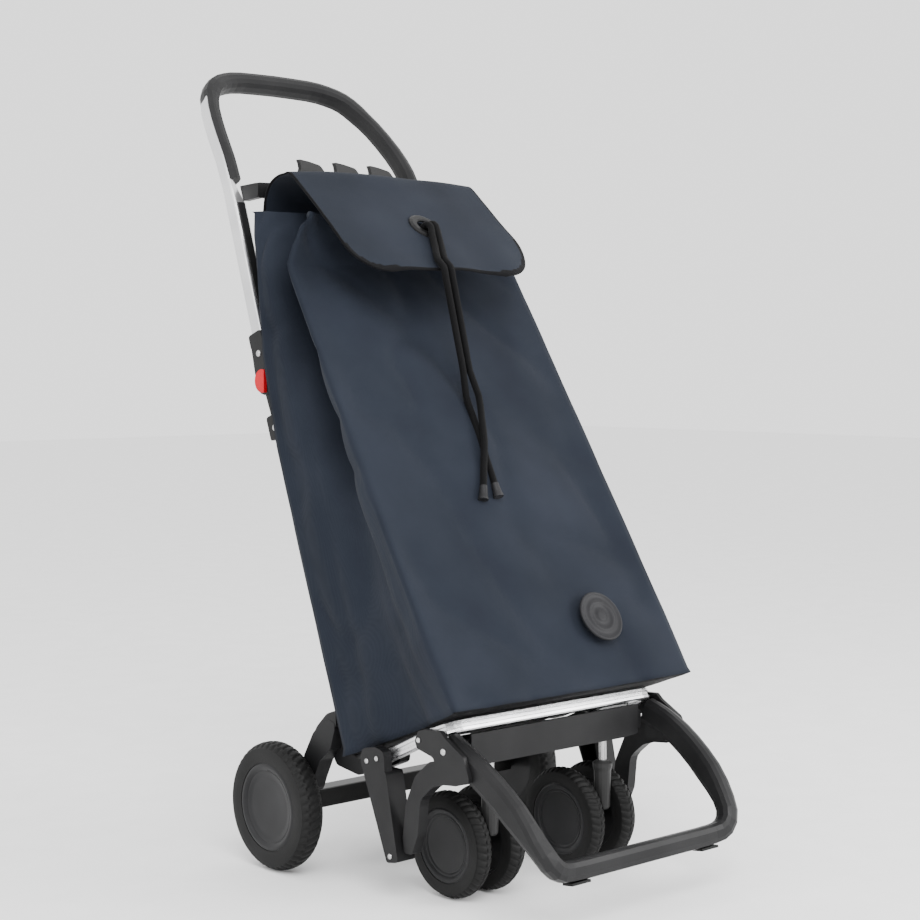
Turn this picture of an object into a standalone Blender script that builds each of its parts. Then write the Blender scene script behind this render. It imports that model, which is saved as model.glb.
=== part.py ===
"""Folding shopping trolley with an open-topped bag, a folding base and a fold-down handle.

All sizes are in metres. The trolley stands on the floor, -Y is its front and +X its left-hand
side as seen from behind. Shapes are drawn about the point of the floor below the rear axle, and
the whole trolley is carried by one empty that puts the middle of its footprint on the origin.
"""
import math

import bmesh
import bpy
from mathutils import Vector

for old in list(bpy.data.objects):
    bpy.data.objects.remove(old, do_unlink=True)

AXLE_Y = 0.0796                 # rear axle behind the middle of the footprint
GAP = 0.0003                    # clearance between touching pieces

REAR_RADIUS = 0.0825            # rear wheels
REAR_INNER = 0.1907
REAR_OUTER = 0.2247
REAR_HUB = 0.0559
CASTER_RADIUS = 0.0656          # twin caster wheels
CASTER_HUB = 0.0458
CASTER_WIDTH = 0.026
CASTER_GAP = 0.0290             # between the two wheels of one caster
CASTER_X = 0.098
CASTER_STEM_Y = -0.285
CASTER_WHEEL_Y = -0.245

RAIL_X = 0.163                  # handle and frame rails
RAIL_WIDTH = 0.018
RAIL_DEPTH = 0.022
LEAN = math.radians(20.0)
FOLD_Y, FOLD_Z = 0.066, 0.627   # axis of the mid hinges
SOCKET = 0.052                  # rail ends start this far from the fold axis

PIVOT_Y, PIVOT_Z = -0.189, 0.172    # axis on which the base folds
BAR_X = 0.177                   # centre line of the base bar's arms
BAR_WIDTH, BAR_HEIGHT = 0.014, 0.015
FLAP_Y, FLAP_Z = 0.037, 0.9005  # crease on which the flap lifts
FLAP_SLOPE = math.radians(41.0)
FLAP_THICK = 0.003


def material(name, colour, roughness, metallic=0.0):
    mat = bpy.data.materials.new(name)
    mat.use_nodes = True
    shader = mat.node_tree.nodes["Principled BSDF"]
    shader.inputs["Base Color"].default_value = (*colour, 1.0)
    shader.inputs["Roughness"].default_value = roughness
    shader.inputs["Metallic"].default_value = metallic
    mat.diffuse_color = (*colour, 1.0)
    return mat


PLASTIC = (0.045, 0.046, 0.048)
TYRE = (0.030, 0.030, 0.032)
SILVER = (0.72, 0.73, 0.74)
STEEL = (0.50, 0.50, 0.51)
NAVY = (0.045, 0.056, 0.085)
BLACK = (0.012, 0.012, 0.013)


def pivot(name, at, parent=None):
    """An empty on a joint axis; its pieces are drawn about it."""
    empty = bpy.data.objects.new(name, None)
    bpy.context.collection.objects.link(empty)
    base = parent["at"] if parent else (0.0, 0.0, 0.0)
    empty.location = Vector(at) - Vector(base)
    if parent:
        empty.parent = parent
    empty["at"] = at
    return empty


trolley = pivot("trolley_origin", (0.0, 0.0, 0.0))
trolley.location = (0.0, AXLE_Y, 0.0)


def place(name, bm, mat, parent, sharp=32.0, cutter=False):
    """Closes up a mesh, moves it to its parent's axis and shades it."""
    bmesh.ops.remove_doubles(bm, verts=bm.verts, dist=1e-6)
    bmesh.ops.recalc_face_normals(bm, faces=bm.faces)
    if bm.calc_volume(signed=True) < 0:
        bmesh.ops.reverse_faces(bm, faces=bm.faces)
    bmesh.ops.translate(bm, verts=bm.verts, vec=-Vector(parent["at"]))
    mesh = bpy.data.meshes.new(name)
    bm.to_mesh(mesh)
    bm.free()
    obj = bpy.data.objects.new(name, mesh)
    bpy.context.collection.objects.link(obj)
    obj.parent = parent
    mesh.materials.append(mat)
    mesh.shade_smooth()
    mesh.set_sharp_from_angle(angle=math.radians(sharp))
    if cutter:
        obj.hide_render = True
        obj.display_type = "WIRE"
    return obj


def add_modifier(target, tool, operation):
    mod = target.modifiers.new(operation.lower() + "_" + tool.name, "BOOLEAN")
    mod.operation = operation
    mod.solver = "EXACT"
    mod.object = tool


def rounded(corners, radius, steps=2):
    """Closed outline with its corners rounded; a corner may carry its own radius."""
    points = []
    count = len(corners)
    for i, corner in enumerate(corners):
        here = Vector(corner[:2])
        before = Vector(corners[i - 1][:2]) - here
        after = Vector(corners[(i + 1) % count][:2]) - here
        r = corner[2] if len(corner) > 2 else radius
        turn = before.angle(after)
        back = min(r / math.tan(turn / 2), 0.46 * before.length, 0.46 * after.length)
        if r <= 0 or turn > math.radians(176):
            points.append(tuple(here))
            continue
        a = here + before.normalized() * back
        b = here + after.normalized() * back
        for k in range(steps + 1):
            t = k / steps
            points.append(tuple(a * (1 - t) ** 2 + here * 2 * t * (1 - t) + b * t * t))
    return points


def plate(outline, low, high, axis="X"):
    """Flat piece: an outline drawn square to an axis and run from low to high along it."""
    bm = bmesh.new()
    rings = []
    for level in (low, high):
        if axis == "X":
            ring = [bm.verts.new((level, a, b)) for a, b in outline]
        elif axis == "Y":
            ring = [bm.verts.new((a, level, b)) for a, b in outline]
        else:
            ring = [bm.verts.new((a, b, level)) for a, b in outline]
        rings.append(ring)
    n = len(outline)
    bm.faces.new(rings[0])
    bm.faces.new(reversed(rings[1]))
    for i in range(n):
        j = (i + 1) % n
        bm.faces.new((rings[0][i], rings[0][j], rings[1][j], rings[1][i]))
    return bm


def turned(profile, centre, axis="X", closed=False, steps=32, start=0.0):
    """Turned piece: (along, radius) points spun about an axis through centre."""
    bm = bmesh.new()
    cx, cy, cz = centre
    verts = []
    for along, radius in profile:
        a, b = radius * math.cos(start), radius * math.sin(start)
        if axis == "X":
            verts.append(bm.verts.new((along, cy + a, cz + b)))
        elif axis == "Y":
            verts.append(bm.verts.new((cx + a, along, cz + b)))
        else:
            verts.append(bm.verts.new((cx + a, cy + b, along)))
    edges = [bm.edges.new((verts[i], verts[i + 1])) for i in range(len(verts) - 1)]
    if closed:
        edges.append(bm.edges.new((verts[-1], verts[0])))
    direction = {"X": (1, 0, 0), "Y": (0, 1, 0), "Z": (0, 0, 1)}[axis]
    bmesh.ops.spin(bm, geom=verts + edges, cent=centre, axis=direction, dvec=(0, 0, 0),
                   angle=2 * math.pi, steps=steps, use_merge=True, use_duplicate=False)
    bmesh.ops.remove_doubles(bm, verts=bm.verts, dist=1e-6)
    return bm


def rod(low, high, radius, centre, axis="X", steps=16, chamfer=0.0008):
    profile = [(low, 0.0), (low, radius - chamfer), (low + chamfer, radius),
               (high - chamfer, radius), (high, radius - chamfer), (high, 0.0)]
    return turned(profile, centre, axis, steps=steps)


def section(width, depth, corner, steps=2):
    """Rounded rectangle about its centre, as (outward, backward) offsets."""
    w, d = width / 2, depth / 2
    return rounded([(-w, -d), (w, -d), (w, d), (-w, d)], corner, steps)


def smooth_path(points, per_span=4):
    """Catmull-Rom curve through the given points."""
    pts = [Vector(p) for p in points]
    pts = [pts[0] * 2 - pts[1]] + pts + [pts[-1] * 2 - pts[-2]]
    out = []
    for i in range(1, len(pts) - 2):
        p0, p1, p2, p3 = pts[i - 1], pts[i], pts[i + 1], pts[i + 2]
        for k in range(per_span):
            t = k / per_span
            out.append(0.5 * (2 * p1 + (p2 - p0) * t + (2 * p0 - 5 * p1 + 4 * p2 - p3) * t * t
                              + (3 * p1 - p0 - 3 * p2 + p3) * t ** 3))
    out.append(pts[-2])
    return out


def sweep(path, shapes, backs, hollow=None):
    """Runs a section along a path. shapes[i] lists (outward, backward) offsets, backs[i] is the
    backward direction there; hollow gives the inner outline of a tube."""
    bm = bmesh.new()
    outer, inner = [], []
    for i, point in enumerate(path):
        ahead = path[min(i + 1, len(path) - 1)] - path[max(i - 1, 0)]
        t = ahead.normalized()
        b = Vector(backs[i])
        b = (b - t * b.dot(t)).normalized()
        n = t.cross(b)
        outer.append([bm.verts.new(point + n * u + b * v) for u, v in shapes[i]])
        if hollow:
            inner.append([bm.verts.new(point + n * u + b * v) for u, v in hollow])
    for rings in ([outer, inner] if hollow else [outer]):
        for low, high in zip(rings, rings[1:]):
            n_pts = len(low)
            for i in range(n_pts):
                j = (i + 1) % n_pts
                bm.faces.new((low[i], low[j], high[j], high[i]))
    for end in (0, -1):
        if hollow:
            n_pts = len(outer[end])
            for i in range(n_pts):
                j = (i + 1) % n_pts
                bm.faces.new((outer[end][i], outer[end][j], inner[end][j], inner[end][i]))
        else:
            bm.faces.new(outer[end])
    return bm


def blend(value, low, high):
    t = min(1.0, max(0.0, (value - low) / (high - low)))
    return t * t * (3 - 2 * t)


SIDES = (("left", -1), ("right", 1))
RAIL_DIR = Vector((0.0, math.sin(LEAN), math.cos(LEAN)))
RAIL_BACK = Vector((0.0, math.cos(LEAN), -math.sin(LEAN)))
FOLD = Vector((0.0, FOLD_Y, FOLD_Z))


def along_rail(distance, back=0.0):
    """Side-view point at a distance up the rail line from the fold axis."""
    p = FOLD + RAIL_DIR * distance + RAIL_BACK * back
    return (p.y, p.z)


# ------------------------------------------------------------------ rear frame
# A box-section axle beam, two moulded arms that carry the lower rails and the base pivot, and
# two channel legs beside them.
beam_outline = rounded([(-0.022, 0.0735), (0.008, 0.0735), (0.008, 0.098), (-0.022, 0.098)], 0.003)
beam = place("rear_axle_beam", plate(beam_outline, -0.1865, 0.1865),
             material("axle_beam_black", PLASTIC, 0.5), trolley)
for side, s in SIDES:
    bore = place("axle_bore_" + side, rod(s * 0.172 if s > 0 else -0.19, 0.19 if s > 0 else -0.172,
                 0.0053, (0, 0, REAR_RADIUS)), bpy.data.materials["axle_beam_black"], trolley,
                 cutter=True)
    add_modifier(beam, bore, "DIFFERENCE")
    low, high = sorted((s * 0.1725, s * 0.2140))
    place("rear_axle_pin_" + side, rod(low, high, 0.005, (0, 0, REAR_RADIUS)),
          material("axle_pin_steel_" + side, STEEL, 0.3, 1.0), trolley)

ARM = [(-0.098, 0.203), (-0.070, 0.2015), (-0.049, 0.180), (-0.031, 0.150), (-0.022, 0.122, 0.016),
       (0.0079, 0.1090, 0.004), (0.0079, 0.0983, 0), (-0.0219, 0.0983, 0), (-0.0420, 0.1030),
       (-0.0520, 0.1250, 0.016), (-0.0640, 0.148), (-0.085, 0.165)]
ARM_TOP = [(-0.0955, 0.2160, 0.002), (-0.0780, 0.2100, 0.02), (-0.0560, 0.1895, 0.02),
           (-0.0480, 0.1720, 0.004), (-0.0800, 0.1800, 0.004), (-0.0965, 0.1980, 0.002)]
LUG = [(-0.092, 0.206, 0.002), (-0.070, 0.200, 0.004), (-0.060, 0.170), (-0.075, 0.142),
       (-0.120, 0.136), (-0.165, 0.150), (PIVOT_Y + 0.004, PIVOT_Z - 0.0135, 0.008),
       (PIVOT_Y - 0.0125, PIVOT_Z - 0.007, 0.008), (PIVOT_Y - 0.0115, PIVOT_Z + 0.010, 0.008),
       (PIVOT_Y + 0.006, PIVOT_Z + 0.011, 0.006), (-0.150, 0.168), (-0.121, 0.156, 0.004),
       (-0.108, 0.160, 0.004)]
for side, s in SIDES:
    black = material("rear_arm_black_" + side, PLASTIC, 0.55)
    low, high = sorted((s * 0.1650, s * 0.1870))
    arm = place("rear_arm_" + side, plate(rounded(ARM, 0.012), low, high), black, trolley)
    low, high = sorted((s * 0.1535, s * 0.1693))
    lug = place("arm_lug_" + side, plate(rounded(LUG, 0.010), low, high), black, trolley,
                cutter=True)
    add_modifier(arm, lug, "UNION")
    top = place("arm_top_" + side, plate(rounded(ARM_TOP, 0.006),
                *sorted((s * 0.1724, s * 0.1866))), black, trolley, cutter=True)
    add_modifier(arm, top, "UNION")
    hole = place("arm_pivot_hole_" + side, rod(*sorted((s * 0.150, s * 0.173)), 0.0035,
                 (0, PIVOT_Y, PIVOT_Z)), black, trolley, cutter=True)
    add_modifier(arm, hole, "DIFFERENCE")

LEG = [(-0.2080, 0.0480), (-0.2290, 0.0520), (-0.2060, 0.1580), (-0.1610, 0.1580)]
CHEEK = [(-0.1970, 0.1180, 0.002), (-0.2045, 0.1560, 0.004), (PIVOT_Y - 0.0135, PIVOT_Z + 0.011, 0.009),
         (PIVOT_Y + 0.004, PIVOT_Z + 0.0135, 0.008), (-0.1600, 0.1800, 0.008),
         (-0.1590, 0.1620, 0.002), (-0.1780, 0.1180, 0.002)]
for side, s in SIDES:
    black = material("rear_leg_black_" + side, PLASTIC, 0.5)
    leg = place("rear_leg_" + side, plate(rounded(LEG, 0.004), *sorted((s * 0.1697, s * 0.197))),
                black, trolley)
    cheek = place("leg_cheek_" + side, plate(rounded(CHEEK, 0.004),
                  *sorted((s * 0.1848, s * 0.1970))), black, trolley, cutter=True)
    add_modifier(leg, cheek, "UNION")
    groove = [(-0.2090, 0.035), (-0.2285, 0.035), (-0.2010, 0.146), (-0.1705, 0.146)]
    hollow = place("leg_hollow_" + side, plate(rounded(groove, 0.002),
                   *sorted((s * 0.160, s * 0.1932))), black, trolley, cutter=True)
    add_modifier(leg, hollow, "DIFFERENCE")
    hole = place("leg_pivot_hole_" + side, rod(*sorted((s * 0.180, s * 0.205)), 0.0035,
                 (0, PIVOT_Y, PIVOT_Z)), black, trolley, cutter=True)
    add_modifier(leg, hole, "DIFFERENCE")
    low, high = sorted((s * 0.1525, s * 0.1985))
    place("base_pin_" + side, rod(low, high, 0.0032, (0, PIVOT_Y, PIVOT_Z), steps=16),
          material("base_pin_steel_" + side, STEEL, 0.3, 1.0), trolley)

# ------------------------------------------------------------------ lower rails and hinges
# Rectangular aluminium tubes from the arms up to the fold hinges, whose lower halves end in a
# central tongue.
tube_outer = section(RAIL_WIDTH, RAIL_DEPTH, 0.003)
tube_inner = section(RAIL_WIDTH - 0.0034, RAIL_DEPTH - 0.0034, 0.0016)
RAIL_FOOT = -0.4450
for side, s in SIDES:
    low = FOLD + RAIL_DIR * RAIL_FOOT
    high = FOLD + RAIL_DIR * (-SOCKET - GAP)
    path = [Vector((s * RAIL_X, p.y, p.z)) for p in (low, high)]
    place("lower_rail_" + side, sweep(path, [tube_outer] * 2, [RAIL_BACK] * 2, hollow=tube_inner),
          material("rail_aluminium_" + side, SILVER, 0.35, 1.0), trolley)

TONGUE_IN, TONGUE_OUT = 0.1585, 0.1670
CHEEK_IN, CHEEK_OUT = 0.1505, 0.1757
BLOCK_DEPTH = 0.0140
LOWER_BLOCK, UPPER_BLOCK = 0.079, 0.067


def hinge_leaf(sign, reach, disc):
    """Side outline of one hinge leaf: a disc about the fold axis run out to its block."""
    points = []
    for k in range(9):
        a = math.pi * (k / 8) - math.pi / 2
        points.append(along_rail(-sign * disc * math.cos(a), disc * math.sin(a)))
    points.append(along_rail(sign * reach, min(disc, BLOCK_DEPTH - 0.001)))
    points.append(along_rail(sign * reach, -min(disc, BLOCK_DEPTH - 0.001)))
    return points


def hinge_block(sign, start, end):
    return rounded([along_rail(sign * start, -BLOCK_DEPTH), along_rail(sign * start, BLOCK_DEPTH),
                    along_rail(sign * end, BLOCK_DEPTH), along_rail(sign * end, -BLOCK_DEPTH)],
                   0.004)


def socket_cut(name, sign, end, s, mat, parent):
    """Pocket in a hinge block that takes the end of a rail."""
    a = FOLD + RAIL_DIR * (sign * SOCKET)
    b = FOLD + RAIL_DIR * (sign * (end + 0.01))
    path = [Vector((s * RAIL_X, p.y, p.z)) for p in (a, b)]
    shape = section(RAIL_WIDTH + 2 * GAP, RAIL_DEPTH + 2 * GAP, 0.003)
    return place(name, sweep(path, [shape] * 2, [RAIL_BACK] * 2), mat, parent, cutter=True)


for side, s in SIDES:
    black = material("lower_hinge_black_" + side, PLASTIC, 0.5)
    block = place("lower_hinge_" + side, plate(hinge_block(-1, 0.0465, LOWER_BLOCK),
                  *sorted((s * CHEEK_IN, s * CHEEK_OUT))), black, trolley)
    tongue = place("hinge_tongue_" + side, plate(hinge_leaf(-1, 0.050, 0.0165),
                   *sorted((s * TONGUE_IN, s * TONGUE_OUT))), black, trolley, cutter=True)
    add_modifier(block, tongue, "UNION")
    add_modifier(block, socket_cut("lower_socket_" + side, -1, LOWER_BLOCK, s, black, trolley),
                 "DIFFERENCE")
    hole = place("tongue_hole_" + side, rod(*sorted((s * 0.155, s * 0.170)), 0.0043,
                 tuple(FOLD), steps=20), black, trolley, cutter=True)
    add_modifier(block, hole, "DIFFERENCE")

# ------------------------------------------------------------------ handle frame
# One bent aluminium loop. Above the hook bracket it is flatter and carries a black grip, which
# closes round it over the top.
handle = pivot("handle_fold_axis", tuple(FOLD), trolley)
start = FOLD + RAIL_DIR * (SOCKET + 0.0009)
HALF = [(RAIL_X, start.y, start.z), (RAIL_X, *along_rail(0.070)), (RAIL_X, 0.1125, 0.760), (RAIL_X, 0.146, 0.860),
        (0.1625, 0.160, 0.893), (0.1610, 0.176, 0.925), (0.1565, 0.200, 0.957),
        (0.1450, 0.233, 0.995), (0.1300, 0.255, 1.019), (0.1130, 0.268, 1.035),
        (0.0900, 0.277, 1.044), (0.0600, 0.281, 1.0485), (0.0, 0.283, 1.050)]
half_path = smooth_path(HALF, 2)
loop = [Vector((-p.x, p.y, p.z)) for p in half_path]
loop += [p.copy() for p in reversed(half_path[:-1])]


def loop_back(point):
    lean = math.radians(20.0 + 18.0 * blend(point.z, 0.90, 0.97))
    return Vector((0.0, math.cos(lean), -math.sin(lean)))


def frame_section(point, grow=0.0):
    """Full rail section below the bracket, a thinner outer strip beside the grip, and a small
    core inside the grip over the top."""
    strip = blend(point.z, 0.868, 0.888)
    core = blend(point.z, 1.012, 1.030)
    outside = 0.009 - 0.004 * core + grow
    inside = -0.009 + 0.010 * strip - 0.005 * core - grow
    half = 0.011 - 0.0015 * strip - 0.0025 * core + grow
    shape = section(outside - inside, 2 * half, 0.0025)
    middle = (outside + inside) / 2
    return [(u + middle, v) for u, v in shape]


def grip_section(point):
    cover = blend(point.z, 1.004, 1.024)
    outside = 0.0085 + 0.0040 * cover
    inside = -0.0125
    shape = rounded([(inside, -0.013), (outside, -0.013), (outside, 0.013), (inside, 0.013)],
                    0.0085, 2)
    return shape


place("handle_frame", sweep(loop, [frame_section(p) for p in loop], [loop_back(p) for p in loop]),
      material("handle_aluminium", SILVER, 0.35, 1.0), handle)
grip_path = [p for p in loop if p.z > 0.889]
grip = place("handle_grip", sweep(grip_path, [grip_section(p) for p in grip_path],
             [loop_back(p) for p in grip_path]), material("grip_black", PLASTIC, 0.6), handle)
inner = place("grip_channel", sweep(loop, [frame_section(p, GAP) for p in loop],
              [loop_back(p) for p in loop]), bpy.data.materials["grip_black"], handle, cutter=True)
add_modifier(grip, inner, "DIFFERENCE")

for side, s in SIDES:
    black = material("upper_hinge_black_" + side, PLASTIC, 0.5)
    block = place("upper_hinge_" + side, plate(hinge_block(1, 0.0465, UPPER_BLOCK),
                  *sorted((s * CHEEK_IN, s * CHEEK_OUT))), black, handle)
    for name, low, high in (("inner", CHEEK_IN, TONGUE_IN - 0.0004),
                            ("outer", TONGUE_OUT + 0.0004, CHEEK_OUT)):
        cheek = place("hinge_%s_cheek_%s" % (name, side), plate(hinge_leaf(1, 0.050, 0.0185),
                      *sorted((s * low, s * high))), black, handle, cutter=True)
        add_modifier(block, cheek, "UNION")
    add_modifier(block, socket_cut("upper_socket_" + side, 1, UPPER_BLOCK, s, black, handle),
                 "DIFFERENCE")
    hole = place("cheek_hole_" + side, rod(*sorted((s * 0.148, s * 0.173)), 0.0043,
                 tuple(FOLD), steps=20), black, handle, cutter=True)
    add_modifier(block, hole, "DIFFERENCE")
    low, high = sorted((s * 0.1500, s * 0.1705))
    place("hinge_pin_" + side, rod(low, high, 0.0040, tuple(FOLD), steps=20),
          material("hinge_pin_steel_" + side, STEEL, 0.3, 1.0), handle)

    button_at = pivot("button_axis_" + side, (s * 0.176, FOLD_Y, FOLD_Z), handle)
    def d_outline(r):
        """Round at the back, flat at the front."""
        points = [(FOLD_Y + r * math.sin(math.radians(a)), FOLD_Z + r * math.cos(math.radians(a)))
                  for a in range(-18, 199, 18)]
        return points
    pocket = place("button_pocket_" + side, plate(d_outline(0.0158),
                   *sorted((s * 0.1708, s * 0.185))), black, handle, cutter=True)
    add_modifier(block, pocket, "DIFFERENCE")
    place("release_button_" + side, plate(d_outline(0.0154), *sorted((s * 0.1743, s * 0.1805))),
          material("button_red_" + side, (0.62, 0.035, 0.045), 0.4), button_at)

for side, s in SIDES:
    strip = [p - loop_back(p) * (RAIL_DEPTH / 2 + GAP + 0.0010) for p in half_path
             if 0.71 < p.z < 0.868]
    path = [Vector((s * p.x, p.y, p.z)) for p in strip]
    place("rail_strip_" + side, sweep(path, [section(0.011, 0.0014, 0.0004)] * len(path),
          [RAIL_BACK] * len(path)), material("strip_black_" + side, BLACK, 0.5), handle)

# ------------------------------------------------------------------ hook bracket
# A cross board in front of the rails with three fin-shaped bag hooks and two arms.
board = [(-0.158, 0.869), (0.158, 0.869), (0.158, 0.889)]
for k in (1, 0, -1):
    x = 0.061 * k - 0.029
    board += [(x + 0.0545, 0.8905, 0.002), (x + 0.0480, 0.9060, 0.010), (x + 0.0360, 0.9185, 0.010),
              (x + 0.0160, 0.9225, 0.012), (x - 0.0005, 0.9245, 0.0012), (x + 0.0025, 0.9190, 0.003),
              (x + 0.0040, 0.9120, 0.004), (x + 0.0005, 0.9040, 0.004), (x - 0.0010, 0.8905, 0.003)]
board += [(-0.158, 0.889)]
bracket = place("hook_board", plate(rounded(board, 0.003), 0.1030, 0.1100, "Y"),
                material("bracket_black", PLASTIC, 0.5), handle)
for side, s in SIDES:
    arm = [(0.105, 0.8688), (0.1365, 0.8665, 0.001), (0.1438, 0.887, 0.001), (0.105, 0.8888)]
    stay = place("bracket_arm_" + side, plate(rounded(arm, 0.003), *sorted((s * 0.149, s * 0.158))),
                 bpy.data.materials["bracket_black"], handle, cutter=True)
    add_modifier(bracket, stay, "UNION")


# ------------------------------------------------------------------ wheels
def wheel(name, parent, inner_x, outer_x, centre, radius, hub_radius, bore, steps):
    """A tyre on a dished plastic hub with a blind bore from its inner face."""
    s = 1 if outer_x > inner_x else -1
    mid = (inner_x + outer_x) / 2
    sidewall = radius - hub_radius
    i, o = inner_x, outer_x
    seat = hub_radius + GAP
    tyre = [(i + s * 0.001, seat), (o - s * 0.001, seat), (o, seat + sidewall * 0.55),
            (o - s * 0.0045, radius - 0.0022), (mid, radius), (i + s * 0.0045, radius - 0.0022),
            (i, seat + sidewall * 0.55)]
    place(name + "_tyre", turned(tyre, centre, "X", closed=True, steps=steps),
          material(name + "_rubber", TYRE, 0.75), parent, sharp=60)
    h = hub_radius
    hub = [(o - s * 0.0075, 0.0), (o - s * 0.0062, h * 0.60), (o - s * 0.0050, h * 0.66),
           (o - s * 0.0050, h * 0.82), (o - s * 0.0010, h), (i + s * 0.0010, h),
           (i + s * 0.0012, h - 0.0045), (o - s * 0.0110, bore + 0.006), (i, bore + 0.005),
           (i, bore), (o - s * 0.0100, bore), (o - s * 0.0100, 0.0)]
    place(name + "_hub", turned(hub, centre, "X", steps=steps),
          material(name + "_plastic", (0.055, 0.056, 0.058), 0.45), parent, sharp=28)


for side, s in SIDES:
    centre = (0.0, 0.0, REAR_RADIUS)
    axis = pivot("rear_wheel_axis_" + side, (s * (REAR_INNER + REAR_OUTER) / 2, 0.0, REAR_RADIUS),
                 trolley)
    wheel("rear_wheel_" + side, axis, s * REAR_INNER, s * REAR_OUTER, centre, REAR_RADIUS,
          REAR_HUB, 0.0056, 26)

# ------------------------------------------------------------------ folding base
# A grooved aluminium U bar turns on the base pins. It carries the front stand, a front cover and
# the beam that holds the two casters.
base = pivot("base_fold_axis", (0.0, PIVOT_Y, PIVOT_Z), trolley)
front = Vector((0.0, -0.2935, 0.2215))
rear = Vector((0.0, PIVOT_Y, PIVOT_Z))
run = (front - rear)
down = run.cross(Vector((1, 0, 0))).normalized()
if down.z > 0:
    down = -down
corner = 0.020
side_points = []
for k in range(5):
    a = math.radians(90 * k / 4)
    side_points.append((BAR_X - corner + corner * math.cos(a), run.length - corner + corner * math.sin(a)))
flat = [(BAR_X, -0.0065), (BAR_X, -0.004), (BAR_X, 0.03)] + side_points
direction = run.normalized()
bar_path = [Vector((-x, 0, 0)) + rear + direction * d for x, d in flat]
bar_path += [Vector((x, 0, 0)) + rear + direction * d for x, d in reversed(flat)]
groove = 0.0015
w, h = BAR_WIDTH / 2, BAR_HEIGHT / 2
bar_shape = [(-w, -h + 0.0015), (-w + 0.0015, -h), (w - 0.0015, -h), (w, -h + 0.0015), (w, -0.0028),
             (w - groove, -0.0018), (w - groove, 0.0018), (w, 0.0028), (w, h - 0.0015),
             (w - 0.0015, h), (-w + 0.0015, h), (-w, h - 0.0015)]
bar_end = [(u, v * 0.72) for u, v in bar_shape]
shapes = [bar_shape] * len(bar_path)
shapes[0] = shapes[-1] = bar_end
bar = place("base_bar", sweep(bar_path, shapes, [-down] * len(bar_path)),
            material("base_bar_aluminium", SILVER, 0.32, 1.0), base)
for side, s in SIDES:
    hole = place("bar_pivot_hole_" + side, rod(*sorted((s * 0.165, s * 0.189)), 0.0035,
                 (0, PIVOT_Y, PIVOT_Z), steps=16), bpy.data.materials["base_bar_aluminium"], base,
                 cutter=True)
    add_modifier(bar, hole, "DIFFERENCE")
    hole = place("bar_stand_hole_" + side, rod(*sorted((s * 0.165, s * 0.189)), 0.0035,
                 (0, -0.259, 0.2043), steps=16), bpy.data.materials["base_bar_aluminium"], base,
                 cutter=True)
    add_modifier(bar, hole, "DIFFERENCE")

# The stand: a swept loop for the front legs and foot bar, with a side plate and a curved brace
# arm at each side.
LEG_LINE = [(0.1700, -0.296, 0.2000), (0.1730, -0.320, 0.1905), (0.1730, -0.350, 0.1750),
            (0.1705, -0.384, 0.1520), (0.1665, -0.418, 0.1220), (0.1590, -0.4400, 0.0960),
            (0.1460, -0.4455, 0.0790), (0.1240, -0.4440, 0.0730), (0.0700, -0.4435, 0.0722),
            (0.0, -0.4435, 0.0722)]
half_leg = smooth_path(LEG_LINE, 2)
stand_path = [Vector((-p.x, p.y, p.z)) for p in half_leg]
stand_path += [p.copy() for p in reversed(half_leg[:-1])]
TIP = math.radians(7.8)


def stand_back(point):
    """Section direction: square to the legs' front face, then to the foot bar's underside."""
    foot = blend(-point.y, 0.40, 0.440)
    leg_dir = Vector((0.0, 0.60, -0.80))
    foot_dir = Vector((0.0, math.cos(TIP), -math.sin(TIP)))
    return leg_dir * (1 - foot) + foot_dir * foot


def stand_section(point):
    foot = blend(-point.y, 0.40, 0.438)
    wide = 0.021 + 0.003 * foot
    deep = 0.033 - 0.011 * foot
    return section(wide, deep, 0.0075)


black = material("stand_black", PLASTIC, 0.5)
stand = place("front_stand", sweep(stand_path, [stand_section(p) for p in stand_path],
              [stand_back(p) for p in stand_path]), black, base, sharp=40)
SIDE_PLATE = [(-0.252, 0.203, 0.005), (-0.258, 0.2150, 0.005), (-0.270, 0.2190),
              (-0.298, 0.2205, 0.004), (-0.306, 0.2135, 0.004), (-0.338, 0.196),
              (-0.350, 0.167), (-0.329, 0.1625), (-0.300, 0.1640, 0), (-0.2880, 0.1745, 0),
              (-0.2860, 0.1875), (-0.256, 0.1940, 0.004)]
BRACE = [(-0.327, 0.1605, 0.002), (-0.303, 0.158), (-0.284, 0.152, 0.02), (-0.2615, 0.133, 0.02),
         (-0.257, 0.090), (-0.246, 0.064, 0.004), (-0.232, 0.063, 0.004), (-0.229, 0.082),
         (-0.235, 0.124, 0.02), (-0.252, 0.160, 0.02), (-0.278, 0.1815, 0.012),
         (-0.300, 0.1860, 0.002), (-0.325, 0.1750, 0.002)]
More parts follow.
